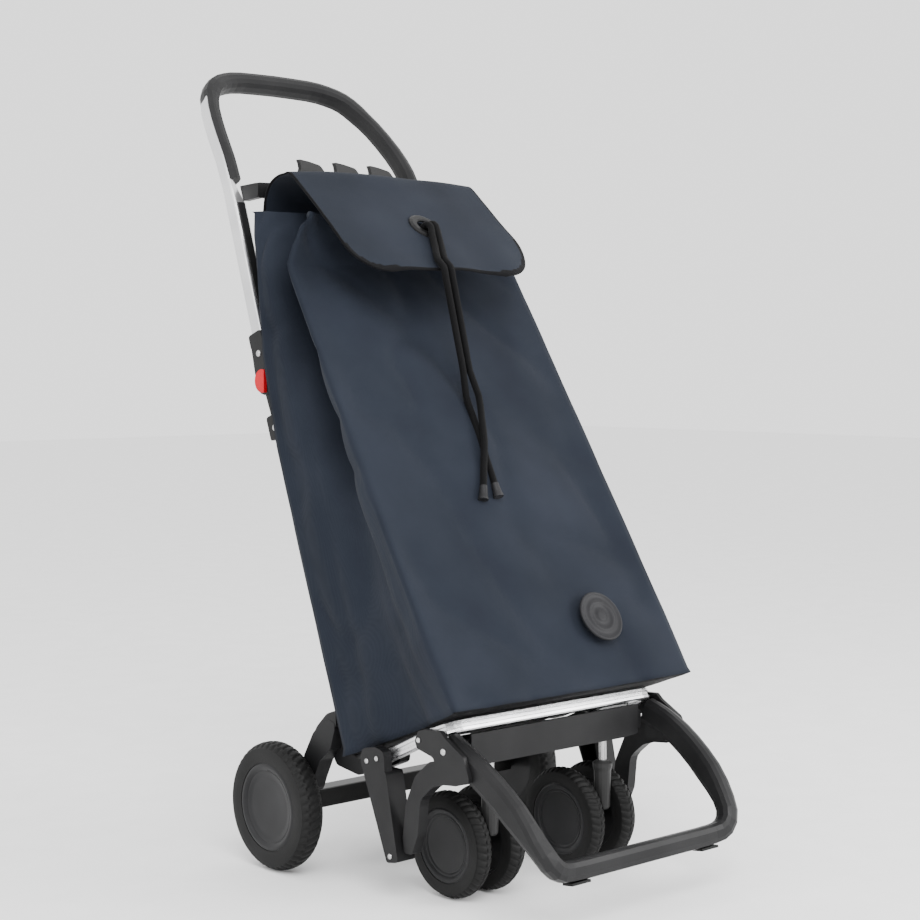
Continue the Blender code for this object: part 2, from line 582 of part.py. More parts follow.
for side, s in SIDES:
    cheek = place("stand_plate_" + side, plate(rounded(SIDE_PLATE, 0.006),
                  *sorted((s * 0.1843, s * 0.1900))), black, base, cutter=True)
    add_modifier(stand, cheek, "UNION")
    thick = place("stand_brace_" + side, plate(rounded(BRACE, 0.012),
                  *sorted((s * 0.1755, s * 0.1896))), black, base, cutter=True)
    add_modifier(stand, thick, "UNION")
    link = [(-0.335, 0.165), (-0.300, 0.165), (-0.297, 0.180), (-0.300, 0.205), (-0.325, 0.198)]
    web = place("stand_web_" + side, plate(rounded(link, 0.004),
                *sorted((s * 0.1640, s * 0.1880))), black, base, cutter=True)
    add_modifier(stand, web, "UNION")
    room = [Vector((0, PIVOT_Y, PIVOT_Z)) + direction * d - down * o for d, o in
            ((0.04, -0.0078), (0.136, -0.0078), (0.136, 0.03), (0.04, 0.03))]
    clear = place("stand_bar_room_" + side, plate([(p.y, p.z) for p in room],
                  *sorted((s * 0.150, s * 0.1843))), black, base, cutter=True)
    add_modifier(stand, clear, "DIFFERENCE")
    hole = place("stand_pin_hole_" + side, rod(*sorted((s * 0.180, s * 0.195)), 0.0035,
                 (0, -0.259, 0.2043), steps=16), black, base, cutter=True)
    add_modifier(stand, hole, "DIFFERENCE")
    place("stand_pin_" + side, rod(*sorted((s * 0.1685, s * 0.1915)), 0.0032,
          (0, -0.259, 0.2043)), material("stand_pin_steel_" + side, STEEL, 0.3, 1.0), base)

for side, s in SIDES:
    pad_dir = Vector((0.0, math.cos(TIP), -math.sin(TIP)))
    pad_down = Vector((0.0, -math.sin(TIP), -math.cos(TIP)))
    middle = Vector((s * 0.112, -0.4435, 0.0722)) + pad_down * (0.012 + GAP + 0.0015)
    bm = bmesh.new()
    bmesh.ops.create_cube(bm, size=1.0)
    for v in bm.verts:
        p = middle + Vector((v.co.x * 0.030, 0, 0)) + pad_dir * (v.co.y * 0.016) - pad_down * (v.co.z * 0.003)
        v.co = p
    place("foot_pad_" + side, bm, material("pad_rubber_" + side, TYRE, 0.8), base)

panel = [(-0.1450, 0.2118, 0.001), (-0.1450, 0.1990, 0.001), (-0.1180, 0.1730), (0.1180, 0.1720),
         (0.1450, 0.1740), (0.1450, 0.2118, 0.001)]
place("front_panel", plate(rounded(panel, 0.002), -0.3030, -0.2995, "Y"),
      material("panel_black", PLASTIC, 0.45), base)
carrier = place("caster_carrier", plate(rounded([(-0.1550, 0.1800), (-0.1100, 0.1780), (-0.0600, 0.1780),
                (0.0600, 0.1780), (0.1100, 0.1780), (0.1550, 0.1800), (0.1550, 0.2040),
                (-0.1550, 0.2040)], 0.004), -0.2990, -0.2700, "Y"),
                material("carrier_black", PLASTIC, 0.5), base)
for side, s in SIDES:
    socket = place("caster_socket_" + side, rod(0.170, 0.1985, 0.0054,
                   (s * CASTER_X, CASTER_STEM_Y, 0.0), "Z"), bpy.data.materials["carrier_black"],
                   base, cutter=True)
    add_modifier(carrier, socket, "DIFFERENCE")

# ------------------------------------------------------------------ casters
# Each caster turns on a steel stem in the carrier. A tapered housing holds an arm back to the
# axle between the twin wheels.
for side, s in SIDES:
    swivel = pivot("caster_swivel_axis_" + side, (s * CASTER_X, CASTER_STEM_Y, 0.12), base)
    stem_at = (s * CASTER_X, CASTER_STEM_Y, 0.0)
    stem = [(0.1435, 0.0), (0.1435, 0.0050), (0.1975, 0.0050), (0.1983, 0.0042), (0.1983, 0.0)]
    place("caster_stem_" + side, turned(stem, stem_at, "Z", steps=20),
          material("stem_steel_" + side, STEEL, 0.25, 1.0), swivel)
    grey = material("fork_grey_" + side, (0.13, 0.13, 0.135), 0.5)
    housing = [(0.0805, 0.0), (0.0805, 0.0080), (0.0830, 0.0098), (0.1300, 0.0112),
               (0.1350, 0.0128), (0.1400, 0.0128), (0.1432, 0.0090), (0.1432, 0.0)]
    fork = place("caster_fork_" + side, turned(housing, stem_at, "Z", steps=18), grey, swivel)
    arm = [(-0.2850, 0.1180), (-0.2600, 0.1080), (-0.2370, 0.0790, 0.01), (-0.2350, 0.0560, 0.01),
           (-0.2550, 0.0540, 0.01), (-0.2640, 0.0700), (-0.2850, 0.0860)]
    web = place("fork_arm_" + side, plate(rounded(arm, 0.006), s * CASTER_X - 0.0085,
                s * CASTER_X + 0.0085), grey, swivel, cutter=True)
    add_modifier(fork, web, "UNION")
    axle_at = (0.0, CASTER_WHEEL_Y, CASTER_RADIUS)
    bore = place("fork_bore_" + side, rod(s * CASTER_X - 0.012, s * CASTER_X + 0.012, 0.0043,
                 axle_at, steps=16), grey, swivel, cutter=True)
    add_modifier(fork, bore, "DIFFERENCE")
    place("caster_axle_" + side, rod(s * CASTER_X - 0.0295, s * CASTER_X + 0.0295, 0.0040,
          axle_at, steps=16), material("caster_axle_steel_" + side, STEEL, 0.3, 1.0), swivel)
    for position, t in (("outer", s), ("inner", -s)):
        near = s * CASTER_X + t * CASTER_GAP / 2
        far = near + t * CASTER_WIDTH
        spin = pivot("caster_wheel_axis_%s_%s" % (side, position),
                     ((near + far) / 2, CASTER_WHEEL_Y, CASTER_RADIUS), swivel)
        wheel("caster_%s_%s" % (side, position), spin, near, far, axle_at, CASTER_RADIUS,
              CASTER_HUB, 0.0043, 20)

# ------------------------------------------------------------------ bag
# An open-topped fabric bag with a flap, an eyelet and two drawcords.
# Each level: back y, back z, half width at the back, front y, front z, half width at the front.
BAG = [(-0.1150, 0.1625, 0.184, -0.3390, 0.2520, 0.204),
       (-0.0790, 0.2780, 0.185, -0.2920, 0.3276, 0.206),
       (-0.0400, 0.3850, 0.185, -0.2200, 0.4435, 0.205),
       (0.0180, 0.5440, 0.185, -0.1480, 0.5593, 0.203),
       (0.0480, 0.6600, 0.184, -0.0760, 0.6752, 0.201),
       (0.0640, 0.7675, 0.184, -0.0140, 0.7750, 0.198),
       (0.0760, 0.8150, 0.183, -0.0100, 0.8180, 0.178),
       (0.0830, 0.8480, 0.178, -0.0040, 0.8440, 0.150)]
WALL = 0.004


def bag_ring(level, inset):
    by, bz, bw, fy, fz, fw = level
    span = Vector((fy - by, fz - bz))
    length = span.length
    corners = [(-bw + inset, inset), (-fw + inset, length - inset), (fw - inset, length - inset),
               (bw - inset, inset)]
    outline = rounded(corners, 0.016 - inset, 3)
    unit = span.normalized()
    return [Vector((x, by + unit.x * d, bz + unit.y * d)) for x, d in outline]


bm = bmesh.new()
rings = [[bm.verts.new(p) for p in bag_ring(level, 0.0)] for level in BAG]
inner_levels = []
for i, level in enumerate(BAG):
    level = list(level)
    if i == 0:
        level[1] += WALL + 0.001
        level[4] += WALL + 0.001
    inner_levels.append(level)
rings += [[bm.verts.new(p) for p in bag_ring(level, WALL)] for level in reversed(inner_levels)]
bm.faces.new(rings[0])
bm.faces.new(rings[-1])
for low, high in zip(rings, rings[1:]):
    for i in range(len(low)):
        j = (i + 1) % len(low)
        bm.faces.new((low[i], low[j], high[j], high[i]))
place("bag_body", bm, material("bag_navy", NAVY, 0.8), trolley)

front_lean = Vector((0.0, 0.325, 0.523)).normalized()
front_out = Vector((0.0, -front_lean.z, front_lean.y))
patch_at = Vector((0.074, -0.2990, 0.3290)) + front_out * 0.0050
bm = turned([(0.0, 0.0), (0.0, 0.0330), (0.0018, 0.0336), (0.0030, 0.0320), (0.0030, 0.0)],
            (0, 0, 0), "Z", steps=28)
turn = front_out.to_track_quat("Z", "Y")
for v in bm.verts:
    v.co = turn @ v.co + patch_at
place("front_patch", bm, material("patch_rubber", (0.05, 0.05, 0.055), 0.6), trolley)

ROOT = [(0.1000, 0.8500), (0.0960, 0.8700), (0.0860, 0.8860), (0.0700, 0.8965), (0.0540, 0.9010),
        (FLAP_Y + 0.0019, FLAP_Z + 0.0010)]
upper, lower = [], []
for i, point in enumerate(ROOT):
    p = Vector(point)
    d = (Vector(ROOT[min(i + 1, len(ROOT) - 1)]) - Vector(ROOT[max(i - 1, 0)])).normalized()
    n = Vector((d.y, -d.x))
    upper.append(tuple(p + n * FLAP_THICK / 2))
    lower.append(tuple(p - n * FLAP_THICK / 2))
place("flap_root", plate(upper + lower[::-1], -0.160, 0.160), material("flap_root_navy", NAVY, 0.8),
      trolley)

flap = pivot("flap_lift_axis", (0.0, FLAP_Y, FLAP_Z), trolley)
slope = Vector((0.0, -math.cos(FLAP_SLOPE), -math.sin(FLAP_SLOPE)))
up = Vector((0.0, -math.sin(FLAP_SLOPE), math.cos(FLAP_SLOPE)))
crease = Vector((0.0, FLAP_Y, FLAP_Z))


def on_flap(x, distance, height):
    """Point on the flap: across, down its slope from the crease, and above its top surface."""
    return crease + Vector((x, 0, 0)) + slope * distance + up * (height + FLAP_THICK / 2)


FLAP_EDGE = [(-0.1600, 0.0, 0), (-0.1560, 0.1985), (0.1560, 0.1985), (0.1600, 0.0, 0)]
outline = rounded(FLAP_EDGE, 0.052, 7)
bm = bmesh.new()
top = [bm.verts.new(on_flap(x, d, 0.0)) for x, d in outline]
bottom = [bm.verts.new(on_flap(x, d, -FLAP_THICK)) for x, d in outline]
bm.faces.new(top)
bm.faces.new(bottom)
for i in range(len(top)):
    j = (i + 1) % len(top)
    bm.faces.new((top[i], top[j], bottom[j], bottom[i]))
flap_sheet = place("bag_flap", bm, material("flap_navy", NAVY, 0.8), flap)
EYELET = 0.1100


def flap_turned(name, profile, x, distance, mat, cutter=False, closed=False, steps=18):
    bm = turned(profile, (0, 0, 0), "Z", closed=closed, steps=steps)
    spin = up.to_track_quat("Z", "Y")
    for v in bm.verts:
        v.co = spin @ v.co + on_flap(x, distance, 0.0)
    return place(name, bm, mat, flap, cutter=cutter)


hole = flap_turned("eyelet_hole", [(-0.01, 0.0), (-0.01, 0.0143), (0.01, 0.0143), (0.01, 0.0)],
                   0.004, EYELET, bpy.data.materials["flap_navy"], cutter=True)
add_modifier(flap_sheet, hole, "DIFFERENCE")
ring = [(GAP, 0.0240), (0.0020, 0.0236), (0.0036, 0.0200), (0.0036, 0.0145), (0.0020, 0.0122),
        (-0.0045, 0.0122), (-0.0045, 0.0140), (GAP, 0.0140)]
flap_turned("eyelet_ring", ring, 0.004, EYELET, material("eyelet_black", BLACK, 0.35), closed=True)

CORD = 0.0090
EDGE = 0.1985


def front_face(z):
    return -0.0140 - (0.7750 - z) * 0.6215


def cord_points(start_x, edge_x, low_x, end_x, end_z, first, over):
    """Up through the eyelet, down the flap, over its edge and down the front of the bag."""
    pts = [on_flap(start_x, EYELET - first, -0.012), on_flap(start_x, EYELET - first, -0.002),
           on_flap(start_x, EYELET + 0.003 - first, 0.0086), on_flap(start_x, EYELET + 0.012 - first, 0.0112),
           on_flap(start_x * 0.8 + edge_x * 0.2, EYELET + 0.028, 0.0086),
           on_flap((start_x + edge_x) / 2, EYELET + 0.050, 0.0056),
           on_flap(edge_x, EDGE - 0.012, 0.0058), on_flap(edge_x, EDGE + 0.0034, 0.0056)]
    hang = pts[-1] + Vector((0, -0.0035, -0.0115))
    pts.append(hang)
    for k in range(1, 5):
        t = k / 4
        z = hang.z + (0.640 - hang.z) * t
        pts.append(Vector((edge_x + (low_x - edge_x) * t, hang.y, z)))
    pts.append(Vector((low_x, front_face(0.607) - 0.0110 - over, 0.607)))
    for k in range(1, 5):
        t = k / 4
        z = 0.607 + (end_z - 0.607) * t
        lift = over * (1 - blend(t, 0.5, 1.0))
        pts.append(Vector((low_x + (end_x - low_x) * t, front_face(z) - 0.0115 - lift, z)))
    return smooth_path(pts, 2)


for name, args in (("left", (-0.0012, -0.0270, 0.0035, -0.0100, 0.4980, -0.002, 0.0)),
                   ("right", (0.0092, -0.0150, 0.0150, -0.0300, 0.4960, 0.0, 0.0115))):
    route = cord_points(*args)
    curve = bpy.data.curves.new("cord_" + name, "CURVE")
    curve.dimensions = "3D"
    curve.bevel_depth = CORD / 2
    curve.bevel_resolution = 2
    curve.use_fill_caps = True
    spline = curve.splines.new("POLY")
    spline.points.add(len(route) - 1)
    for spot, p in zip(spline.points, route):
        q = p - Vector(flap["at"])
        spot.co = (q.x, q.y, q.z, 1.0)
    cord = bpy.data.objects.new("cord_" + name, curve)
    bpy.context.collection.objects.link(cord)
    cord.parent = flap
    curve.materials.append(material("cord_black_" + name, BLACK, 0.8))
    tip = route[-1]
    ahead = (route[-1] - route[-2]).normalized()
    ferrule = [(GAP, 0.0), (GAP, 0.0050), (0.0120, 0.0056), (0.0180, 0.0068), (0.0195, 0.0064),
               (0.0195, 0.0)]
    bm = turned(ferrule, (0, 0, 0), "Z", steps=20)
    spin = ahead.to_track_quat("Z", "Y")
    for v in bm.verts:
        v.co = spin @ v.co + tip
    place("cord_end_" + name, bm, material("ferrule_grey_" + name, (0.10, 0.10, 0.105), 0.5), flap)
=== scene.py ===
import math

import bmesh
import bpy
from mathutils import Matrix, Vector, noise


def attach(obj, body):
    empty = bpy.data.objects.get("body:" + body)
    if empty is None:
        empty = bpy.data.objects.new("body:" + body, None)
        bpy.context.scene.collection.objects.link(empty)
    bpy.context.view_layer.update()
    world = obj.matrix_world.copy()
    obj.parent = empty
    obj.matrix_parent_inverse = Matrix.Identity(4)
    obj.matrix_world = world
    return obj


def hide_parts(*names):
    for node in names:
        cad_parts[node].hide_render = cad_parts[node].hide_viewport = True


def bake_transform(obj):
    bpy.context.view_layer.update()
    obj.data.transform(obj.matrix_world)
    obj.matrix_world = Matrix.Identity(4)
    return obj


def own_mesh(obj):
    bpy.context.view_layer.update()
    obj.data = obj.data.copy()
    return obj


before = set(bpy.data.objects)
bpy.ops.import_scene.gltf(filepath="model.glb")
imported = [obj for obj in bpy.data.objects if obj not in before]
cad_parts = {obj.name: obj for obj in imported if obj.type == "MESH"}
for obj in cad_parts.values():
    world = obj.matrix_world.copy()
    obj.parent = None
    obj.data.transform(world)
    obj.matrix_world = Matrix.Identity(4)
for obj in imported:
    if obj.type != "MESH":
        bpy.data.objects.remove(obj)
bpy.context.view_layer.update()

# ---------------------------------------------------------------- camera
# Low three-quarter view from the front and the trolley's right-hand side. Lengths along y are
# counted from the rear axle, which lies axle_y behind the middle of the footprint.
axle_y = 0.0796
camera_data = bpy.data.cameras.new("camera")
camera_data.lens = 71.9
camera_data.sensor_width = 36.0
camera_data.shift_x = -0.0009
camera_data.shift_y = 0.0007
camera_data.clip_start = 0.05
camera = bpy.data.objects.new("camera", camera_data)
bpy.context.scene.collection.objects.link(camera)
camera.location = (-1.5936, -1.8951 + axle_y, 0.6511)
camera.rotation_euler = (math.radians(90.0 - 3.06), 0.0, math.radians(-41.96))
bpy.context.scene.camera = camera


# ---------------------------------------------------------------- black mouldings
# Arms, legs, hinges, front stand, caster carrier, rail strips and hook board: moulded plastic
# with a fine grain, held together by steel pins. Every node gets this finish first, and the
# sections below give the other pieces theirs.
def surface(name, dark, light, rough, metallic, grain, bump, stretch=(1.0, 1.0, 1.0)):
    """Moulded plastic, rubber or metal: fine grain, cloudy colour and patchy gloss."""
    mat = bpy.data.materials.new(name)
    mat.use_nodes = True
    nodes = mat.node_tree.nodes
    links = mat.node_tree.links
    shader = nodes["Principled BSDF"]
    shader.label = "surface"
    shader.location = (700, 0)
    shader.inputs["Metallic"].default_value = metallic
    shader.inputs["Specular IOR Level"].default_value = 0.16
    coords = nodes.new("ShaderNodeTexCoord")
    coords.label = "object position"
    coords.location = (-700, 0)
    spread = nodes.new("ShaderNodeMapping")
    spread.label = "grain direction"
    spread.location = (-500, -200)
    spread.inputs["Scale"].default_value = stretch
    links.new(coords.outputs["Object"], spread.inputs["Vector"])
    fine = nodes.new("ShaderNodeTexNoise")
    fine.label = "fine grain"
    fine.location = (-250, -300)
    fine.inputs["Scale"].default_value = grain
    fine.inputs["Detail"].default_value = 4.0
    links.new(spread.outputs["Vector"], fine.inputs["Vector"])
    cloud = nodes.new("ShaderNodeTexNoise")
    cloud.label = "cloudy wear"
    cloud.location = (-250, 100)
    cloud.inputs["Scale"].default_value = 14.0
    cloud.inputs["Detail"].default_value = 3.0
    links.new(coords.outputs["Object"], cloud.inputs["Vector"])
    tint = nodes.new("ShaderNodeValToRGB")
    tint.label = "colour variation"
    tint.location = (50, 150)
    tint.color_ramp.elements[0].position = 0.32
    tint.color_ramp.elements[0].color = (*dark, 1.0)
    tint.color_ramp.elements[1].position = 0.68
    tint.color_ramp.elements[1].color = (*light, 1.0)
    links.new(cloud.outputs["Fac"], tint.inputs["Fac"])
    links.new(tint.outputs["Color"], shader.inputs["Base Color"])
    gloss = nodes.new("ShaderNodeMapRange")
    gloss.label = "patchy gloss"
    gloss.location = (50, -100)
    gloss.inputs["To Min"].default_value = max(0.05, rough - 0.08)
    gloss.inputs["To Max"].default_value = min(1.0, rough + 0.10)
    links.new(fine.outputs["Fac"], gloss.inputs["Value"])
    links.new(gloss.outputs["Result"], shader.inputs["Roughness"])
    relief = nodes.new("ShaderNodeBump")
    relief.label = "grain relief"
    relief.location = (350, -300)
    relief.inputs["Strength"].default_value = bump
    relief.inputs["Distance"].default_value = 0.0004
    links.new(fine.outputs["Fac"], relief.inputs["Height"])
    links.new(relief.outputs["Normal"], shader.inputs["Normal"])
    group = nodes.new("NodeFrame")
    group.label = "grain and wear"
    for node in (coords, spread, fine, cloud, gloss, relief):
        node.parent = group
    return mat


def give_finish(material, *starts):
    """Give one finish to the nodes whose names start with these words."""
    for name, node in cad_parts.items():
        if name.startswith(starts):
            node.data.materials.clear()
            node.data.materials.append(material)


black_plastic = surface("black plastic", (0.0065, 0.0065, 0.007), (0.012, 0.012, 0.0125), 0.40, 0.0, 900.0,
                        0.35)
give_finish(black_plastic, "")

# ---------------------------------------------------------------- axle beam
# A box-section steel beam between the rear wheels, powder-coated black. The rear arms hold it
# and the stub axles go into its ends.
painted = surface("painted steel", (0.005, 0.005, 0.005), (0.009, 0.009, 0.009), 0.35, 0.0, 500.0, 0.15)
give_finish(painted, "rear_axle_beam")

# ---------------------------------------------------------------- rails and handle loop
# Rectangular aluminium tubes behind the bag and one bent loop above the hinges, satin
# anodised, with a faint grain along the tubes. They are held in the mid hinges.
aluminium = surface("aluminium", (0.62, 0.62, 0.63), (0.76, 0.76, 0.77), 0.30, 1.0, 420.0, 0.12,
                    (6.0, 1.0, 0.15))
give_finish(aluminium, "handle_frame", "lower_rail")

# ---------------------------------------------------------------- grip
# A soft black sleeve pushed over the bend of the handle loop, a little duller than the
# mouldings.
grip_plastic = surface("grip plastic", (0.007, 0.007, 0.0075), (0.013, 0.013, 0.0135), 0.45, 0.0, 700.0,
                       0.45)
give_finish(grip_plastic, "handle_grip")

# ---------------------------------------------------------------- base bar
# A grooved aluminium bar bent to a U under the bag, brushed along its length. It carries the
# front stand on two pins and turns on the rear arms.
bar_aluminium = surface("bar aluminium", (0.64, 0.64, 0.65), (0.78, 0.78, 0.79), 0.26, 1.0, 420.0, 0.10,
                        (0.15, 2.0, 6.0))
give_finish(bar_aluminium, "base_bar")

# ---------------------------------------------------------------- release buttons
# Two glossy red buttons of moulded plastic. Each is pressed into the outer side of an upper
# hinge and springs back.
red_plastic = surface("red plastic", (0.42, 0.004, 0.010), (0.50, 0.008, 0.016), 0.30, 0.0, 900.0, 0.15)
give_finish(red_plastic, "release_button")

# ---------------------------------------------------------------- caster forks
# Dark grey moulded housings between the twin caster wheels. Each turns on a steel stem in the
# carrier's socket.
housing_grey = surface("housing grey", (0.020, 0.020, 0.020), (0.032, 0.032, 0.032), 0.38, 0.0, 900.0, 0.2)
give_finish(housing_grey, "caster_fork")

# ---------------------------------------------------------------- pins and rivets
# Bright zinc-plated steel: the pins, stub axles and stems that the parts turn on, and the
# round rivet heads on the hinges, the rear legs and the side plates.
def mesh_object(name, bm, material, sharp=180.0):
    bmesh.ops.remove_doubles(bm, verts=bm.verts, dist=1e-6)
    bmesh.ops.recalc_face_normals(bm, faces=bm.faces)
    mesh = bpy.data.meshes.new(name)
    bm.to_mesh(mesh)
    bm.free()
    obj = bpy.data.objects.new(name, mesh)
    bpy.context.scene.collection.objects.link(obj)
    mesh.materials.append(material)
    mesh.shade_smooth()
    if sharp < 180.0:
        mesh.set_sharp_from_angle(angle=math.radians(sharp))
    return obj


def spun(profile, centre, axis, steps):
    """A turned mesh from profile points, spun a full turn about an axis through centre."""
    bm = bmesh.new()
    verts = [bm.verts.new(point) for point in profile]
    edges = [bm.edges.new((a, b)) for a, b in zip(verts, verts[1:])]
    bmesh.ops.spin(bm, geom=verts + edges, cent=centre, axis=axis, dvec=(0, 0, 0),
                   angle=2 * math.pi, steps=steps, use_merge=True, use_duplicate=False)
    return bm


steel = surface("zinc steel", (0.42, 0.42, 0.42), (0.56, 0.56, 0.56), 0.28, 1.0, 500.0, 0.12)
give_finish(steel, "base_pin", "rear_axle_pin", "stand_pin", "hinge_pin", "caster_axle", "caster_stem")
for side, s in (("left", -1), ("right", 1)):
    for body, x, y, z, r in (("handle", 0.1757, 0.0790, 0.6630, 0.0046),
                             ("frame", 0.1757, 0.0440, 0.5665, 0.0046),
                             ("frame", 0.1970, -0.1700, 0.1660, 0.0034),
                             ("frame", 0.1970, -0.2140, 0.0570, 0.0036),
                             ("base", 0.1900, -0.3030, 0.1970, 0.0042)):
        dome = [(0.0022, 0.0), (0.0020, r * 0.5), (0.0013, r * 0.85), (0.0003, r), (-0.0008, r),
                (-0.0008, 0.0)]
        profile = [(s * (x + out), y + axle_y, z + up) for out, up in dome]
        bm = spun(profile, (0, y + axle_y, z), (1, 0, 0), 28)
        rivet = mesh_object("rivet_%s_%.0f_%.0f" % (side, -y * 1000, z * 1000), bm, steel, 50.0)
        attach(rivet, body)

# ---------------------------------------------------------------- wheels and foot pads
# Moulded rubber tyres with a cut tread, pressed on dished plastic hubs with a stepped ring;
# each hub turns on its axle. The pads under the foot bar are of the same rubber.
def ease(value, low, high):
    t = min(1.0, max(0.0, (value - low) / (high - low)))
    return t * t * (3 - 2 * t)


def wheel(body, nodes, inner_x, outer_x, centre_y, radius, hub, tread, lugs):
    """One tyre and one hub about the wheel's axle; lugs is the number of tread blocks round it."""
    side = 1 if outer_x > inner_x else -1
    width = abs(outer_x - inner_x)
    mid = (inner_x + outer_x) / 2
    seat = hub + 0.0003
    wall = radius - seat
    half = width / 2
    bm = bmesh.new()
    around = lugs * 8
    crown = 18
    outline = [(-half + 0.0010, seat, 0.0), (-half, seat + wall * 0.30, 0.0),
               (-half, seat + wall * 0.55, 0.0), (-half + 0.0006, seat + wall * 0.72, 0.0)]
    for k in range(crown + 1):
        u = -1 + 2 * k / crown
        rounding = (1 - math.sqrt(max(0.0, 1 - (0.96 * u) ** 2))) * 0.0100
        outline.append((u * (half - 0.0012), radius - rounding, 1.0 if abs(u) < 0.98 else 0.0))
    outline += [(half - 0.0006, seat + wall * 0.72, 0.0), (half, seat + wall * 0.55, 0.0),
                (half, seat + wall * 0.30, 0.0), (half - 0.0010, seat, 0.0)]
    rings = []
    for i in range(around):
        angle = 2 * math.pi * i / around
        ring = []
        for x, r, cut in outline:
            u = x / half
            if tread == "chevron":
                phase = lugs * angle + 3.6 * abs(u)
            else:
                phase = lugs * angle + 4.2 * u + (math.pi if abs(u) < 0.42 else 0.0)
            groove = ease(math.cos(phase), 0.10, 0.62) * cut
            if abs(u) < 0.07 and tread == "chevron":
                groove = cut
            low = r - 0.0016 * groove
            ring.append(bm.verts.new((mid + x, centre_y + low * math.cos(angle),
                                      radius + low * math.sin(angle))))
        rings.append(ring)
    for i in range(around):
        a, b = rings[i], rings[(i + 1) % around]
        for j in range(len(outline)):
            n = (j + 1) % len(outline)
            bm.faces.new((a[j], a[n], b[n], b[j]))
    tyre = mesh_object(body + "_tyre_visual", bm, tyre_rubber, 48.0)
    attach(tyre, body)
    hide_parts(nodes + "_tyre")
    outer_side = [(0.0074, 0.0), (0.0073, hub * 0.25), (0.0066, hub * 0.48), (0.0054, hub * 0.66),
                  (0.0052, hub * 0.74), (0.0040, hub * 0.78), (0.0040, hub * 0.83),
                  (0.0022, hub * 0.86), (0.0010, hub * 0.91), (0.0007, hub * 0.955),
                  (0.0014, hub * 0.985), (0.0016, hub)]
    inner_side = [(0.0012, hub), (0.0012, hub - 0.0030), (0.0090, hub - 0.0050), (0.0110, hub * 0.5),
                  (0.0100, 0.0115), (0.0004, 0.0105), (0.0004, 0.0058)]
    blind_end = [(0.0105, 0.0058), (0.0105, 0.0)]
    profile = [(outer_x - side * depth, centre_y, radius + r) for depth, r in outer_side]
    profile += [(inner_x + side * depth, centre_y, radius + r) for depth, r in inner_side]
    profile += [(outer_x - side * depth, centre_y, radius + r) for depth, r in blind_end]
    bm = spun(profile, (0, centre_y, radius), (1, 0, 0), 96)
    disc = mesh_object(body + "_hub_visual", bm, hub_plastic, 30.0)
    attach(disc, body)
    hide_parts(nodes + "_hub")


tyre_rubber = surface("tyre rubber", (0.005, 0.005, 0.005), (0.010, 0.010, 0.010), 0.58, 0.0, 600.0, 0.5)
hub_plastic = surface("hub plastic", (0.0085, 0.0085, 0.009), (0.015, 0.015, 0.016), 0.34, 0.0, 900.0, 0.2)
give_finish(tyre_rubber, "foot_pad")
for side, s in (("left", -1), ("right", 1)):
    wheel("rear_wheel_" + side, "rear_wheel_" + side, s * 0.1907, s * 0.2247, axle_y, 0.0825, 0.0559,
          "diagonal", 46)
    for position, t in (("outer", s), ("inner", -s)):
        near = s * 0.098 + t * 0.0145
        wheel("caster_%s_%s_wheel" % (side, position), "caster_%s_%s" % (side, position), near,
              near + t * 0.026, -0.245 + axle_y, 0.0656, 0.0458, "chevron", 44)

